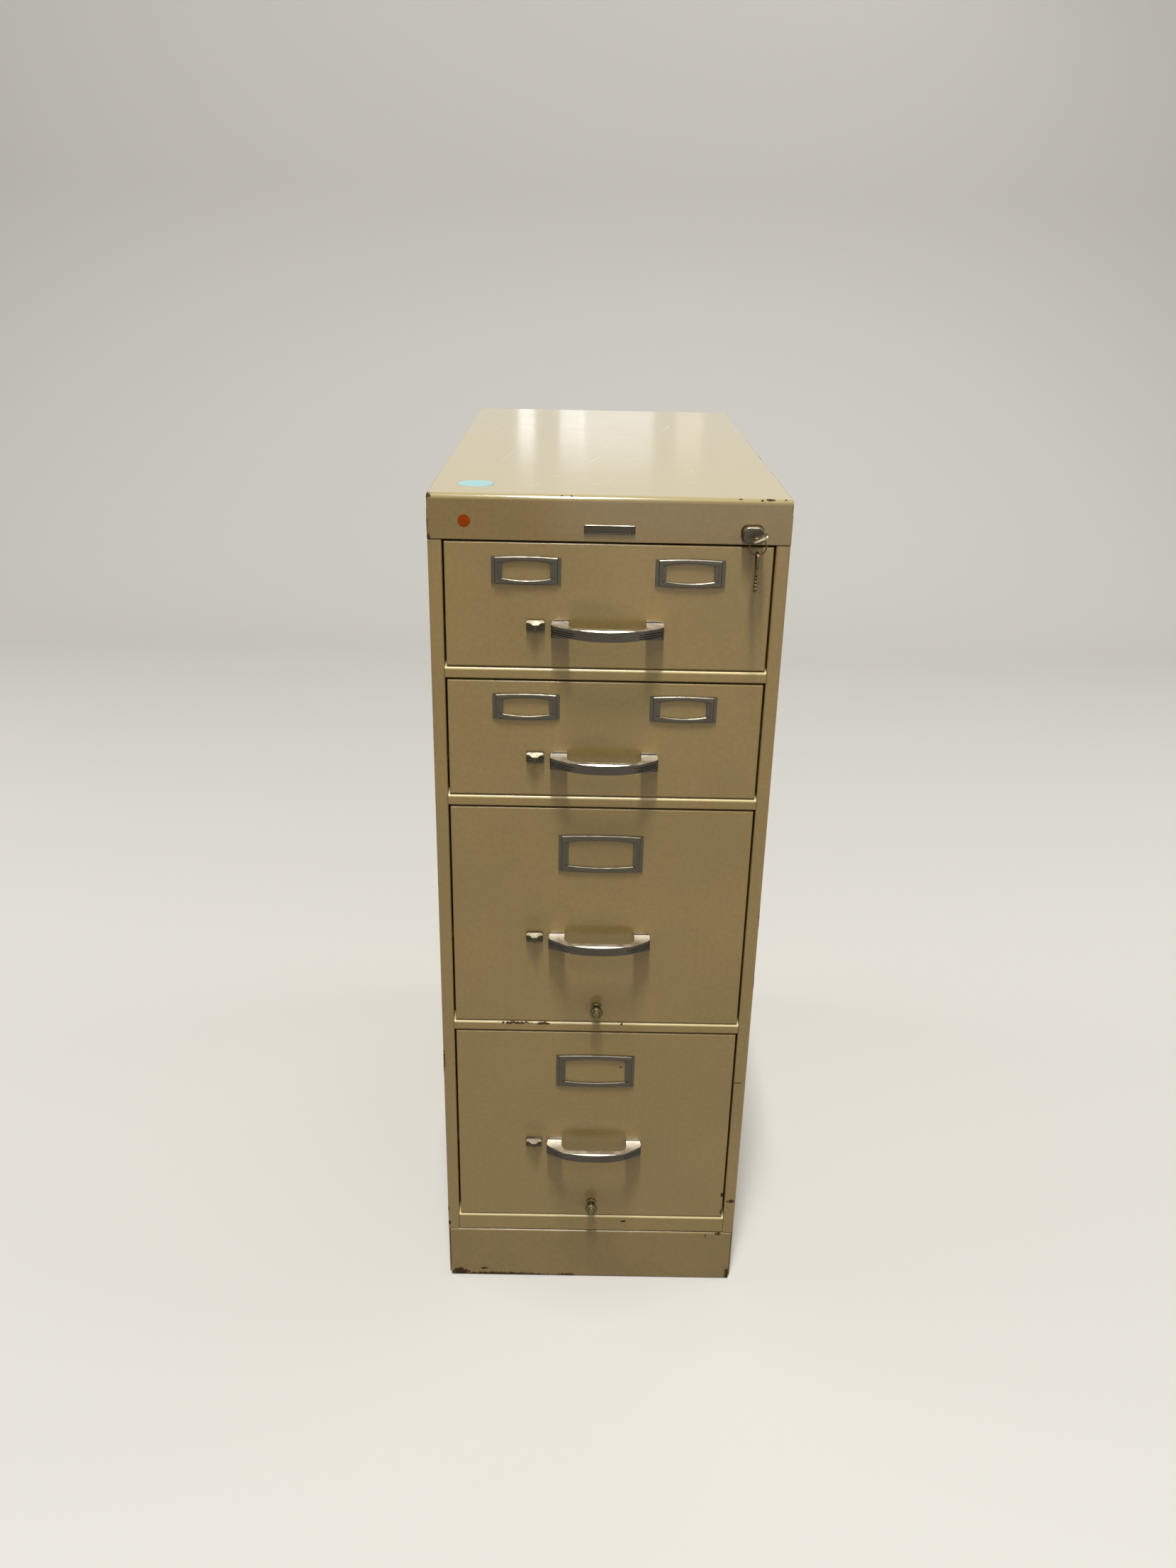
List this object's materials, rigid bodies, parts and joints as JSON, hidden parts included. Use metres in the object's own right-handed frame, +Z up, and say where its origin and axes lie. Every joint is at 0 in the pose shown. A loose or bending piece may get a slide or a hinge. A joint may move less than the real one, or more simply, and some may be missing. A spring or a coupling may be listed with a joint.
{
  "type": "filing cabinet",
  "caption": "Upright steel filing cabinet with card drawers over letter drawers, pull handles, thumb latches and a push lock.",
  "frame": {"origin": "on the floor, under the middle of the whole cabinet from its hanging keys to its back", "axes": "+X to the right as seen from the front, -Y towards the front where the drawers open, +Z up"},
  "size_m": [0.381, 0.7574, 1.0541],
  "materials": {
    "enamel": "gloss baked enamel",
    "primed_steel": "matt primer",
    "zinc_steel": "zinc plated",
    "plated_trim": "dull nickel plate",
    "cast_aluminium": "polished casting",
    "lock_metal": "worn nickel",
    "key_brass": "worn",
    "ring_steel": "bronzed wire",
    "rod_steel": "dull bronze plate",
    "follower_enamel": "grey enamel"
  },
  "bodies": {
    "case": {"side_panel_left": "enamel", "side_panel_right": "enamel", "top_cover": "enamel", "back_panel": "enamel", "base_pan": "primed_steel", "kick_plate": "enamel", "cross_rail_1": "enamel", "cross_rail_2": "enamel", "cross_rail_3": "enamel", "base_rail": "enamel", "front_uprights": "primed_steel", "rear_uprights": "primed_steel", "case_channels_left": "zinc_steel", "case_channels_right": "zinc_steel", "nameplate": "plated_trim", "lock_housing": "lock_metal"},
    "drawer_1": {"drawer_body_1": "enamel", "drawer_front_1": "enamel", "drawer_runners_1": "zinc_steel", "handle_1": "cast_aluminium", "label_holders_1": "plated_trim"},
    "slides_1": {"slides_1": "zinc_steel"},
    "thumb_latch_1": {"thumb_latch_1": "cast_aluminium"},
    "follower_1_left": {"follower_1_left": "follower_enamel"},
    "follower_1_right": {"follower_1_right": "follower_enamel"},
    "drawer_2": {"drawer_body_2": "enamel", "drawer_front_2": "enamel", "drawer_runners_2": "zinc_steel", "handle_2": "cast_aluminium", "label_holders_2": "plated_trim"},
    "slides_2": {"slides_2": "zinc_steel"},
    "thumb_latch_2": {"thumb_latch_2": "cast_aluminium"},
    "follower_2_left": {"follower_2_left": "follower_enamel"},
    "follower_2_right": {"follower_2_right": "follower_enamel"},
    "drawer_3": {"drawer_body_3": "enamel", "drawer_front_3": "enamel", "drawer_runners_3": "zinc_steel", "handle_3": "cast_aluminium", "label_holder_3": "plated_trim"},
    "slides_3": {"slides_3": "zinc_steel"},
    "thumb_latch_3": {"thumb_latch_3": "cast_aluminium"},
    "follower_3": {"follower_3": "follower_enamel"},
    "guide_rod_3": {"guide_rod_3": "rod_steel"},
    "drawer_4": {"drawer_body_4": "enamel", "drawer_front_4": "enamel", "drawer_runners_4": "zinc_steel", "handle_4": "cast_aluminium", "label_holder_4": "plated_trim"},
    "slides_4": {"slides_4": "zinc_steel"},
    "thumb_latch_4": {"thumb_latch_4": "cast_aluminium"},
    "follower_4": {"follower_4": "follower_enamel"},
    "guide_rod_4": {"guide_rod_4": "rod_steel"},
    "lock_plunger": {"lock_plunger": "lock_metal"},
    "lock_key": {"lock_plug": "lock_metal", "lock_key": "key_brass"},
    "key_ring": {"key_ring": "ring_steel"},
    "spare_key": {"spare_key": "key_brass"},
    "lock_bar": {"lock_bar": "zinc_steel"}
  },
  "joints": [
    {"name": "drawer_1_slide", "type": "slide", "parent": "case", "child": "drawer_1", "axis": [0, -1, 0], "range_m": [0, 0.64]},
    {"name": "slides_1_slide", "type": "slide", "parent": "case", "child": "slides_1", "axis": [0, -1, 0], "range_m": [0, 0.32]},
    {"name": "thumb_latch_1_slide", "type": "slide", "parent": "drawer_1", "child": "thumb_latch_1", "axis": [1, 0, 0], "range_m": [0, 0.005], "stiffness_N_per_m": 300, "springref_m": -0.005},
    {"name": "follower_1_left_slide", "type": "slide", "parent": "drawer_1", "child": "follower_1_left", "axis": [0, 1, 0], "range_m": [-0.53, 0]},
    {"name": "follower_1_right_slide", "type": "slide", "parent": "drawer_1", "child": "follower_1_right", "axis": [0, 1, 0], "range_m": [-0.53, 0]},
    {"name": "drawer_2_slide", "type": "slide", "parent": "case", "child": "drawer_2", "axis": [0, -1, 0], "range_m": [0, 0.64]},
    {"name": "slides_2_slide", "type": "slide", "parent": "case", "child": "slides_2", "axis": [0, -1, 0], "range_m": [0, 0.32]},
    {"name": "thumb_latch_2_slide", "type": "slide", "parent": "drawer_2", "child": "thumb_latch_2", "axis": [1, 0, 0], "range_m": [0, 0.005], "stiffness_N_per_m": 300, "springref_m": -0.005},
    {"name": "follower_2_left_slide", "type": "slide", "parent": "drawer_2", "child": "follower_2_left", "axis": [0, 1, 0], "range_m": [-0.53, 0]},
    {"name": "follower_2_right_slide", "type": "slide", "parent": "drawer_2", "child": "follower_2_right", "axis": [0, 1, 0], "range_m": [-0.53, 0]},
    {"name": "drawer_3_slide", "type": "slide", "parent": "case", "child": "drawer_3", "axis": [0, -1, 0], "range_m": [0, 0.64]},
    {"name": "slides_3_slide", "type": "slide", "parent": "case", "child": "slides_3", "axis": [0, -1, 0], "range_m": [0, 0.32]},
    {"name": "thumb_latch_3_slide", "type": "slide", "parent": "drawer_3", "child": "thumb_latch_3", "axis": [1, 0, 0], "range_m": [0, 0.005], "stiffness_N_per_m": 300, "springref_m": -0.005},
    {"name": "follower_3_slide", "type": "slide", "parent": "drawer_3", "child": "follower_3", "axis": [0, 1, 0], "range_m": [-0.53, 0]},
    {"name": "guide_rod_3_slide", "type": "slide", "parent": "drawer_3", "child": "guide_rod_3", "axis": [0, -1, 0], "range_m": [0, 0.6]},
    {"name": "drawer_4_slide", "type": "slide", "parent": "case", "child": "drawer_4", "axis": [0, -1, 0], "range_m": [0, 0.64]},
    {"name": "slides_4_slide", "type": "slide", "parent": "case", "child": "slides_4", "axis": [0, -1, 0], "range_m": [0, 0.32]},
    {"name": "thumb_latch_4_slide", "type": "slide", "parent": "drawer_4", "child": "thumb_latch_4", "axis": [1, 0, 0], "range_m": [0, 0.005], "stiffness_N_per_m": 300, "springref_m": -0.005},
    {"name": "follower_4_slide", "type": "slide", "parent": "drawer_4", "child": "follower_4", "axis": [0, 1, 0], "range_m": [-0.53, 0]},
    {"name": "guide_rod_4_slide", "type": "slide", "parent": "drawer_4", "child": "guide_rod_4", "axis": [0, -1, 0], "range_m": [0, 0.6]},
    {"name": "lock_plunger_push", "type": "slide", "parent": "case", "child": "lock_plunger", "axis": [0, 1, 0], "range_m": [0, 0.009], "stiffness_N_per_m": 400, "springref_m": -0.012},
    {"name": "lock_bar_drop", "type": "slide", "parent": "case", "child": "lock_bar", "axis": [0, 0, -1], "range_m": [0, 0.009]},
    {"name": "lock_key_turn", "type": "hinge", "parent": "lock_plunger", "child": "lock_key", "pos_m": [0.1546, -0.3558, 1.0182], "axis": [0, 1, 0], "range_deg": [-65, 25]},
    {"name": "key_ring_turn", "type": "hinge", "parent": "lock_key", "child": "key_ring", "pos_m": [0.15251, -0.3702, 1.01035], "axis": [0, 1, 0], "range_deg": [-25, 65]},
    {"name": "spare_key_swing", "type": "hinge", "parent": "key_ring", "child": "spare_key", "pos_m": [0.15251, -0.3702, 1.00155], "axis": [1, 0, 0], "range_deg": [-30, 18]}
  ],
  "couplings": [
    {"joint": "slides_1_slide", "follows": "drawer_1_slide", "ratio": 0.5},
    {"joint": "slides_2_slide", "follows": "drawer_2_slide", "ratio": 0.5},
    {"joint": "slides_3_slide", "follows": "drawer_3_slide", "ratio": 0.5},
    {"joint": "slides_4_slide", "follows": "drawer_4_slide", "ratio": 0.5},
    {"joint": "lock_bar_drop", "follows": "lock_plunger_push", "ratio": 1},
    {"joint": "key_ring_turn", "follows": "lock_key_turn", "ratio": -1}
  ]
}
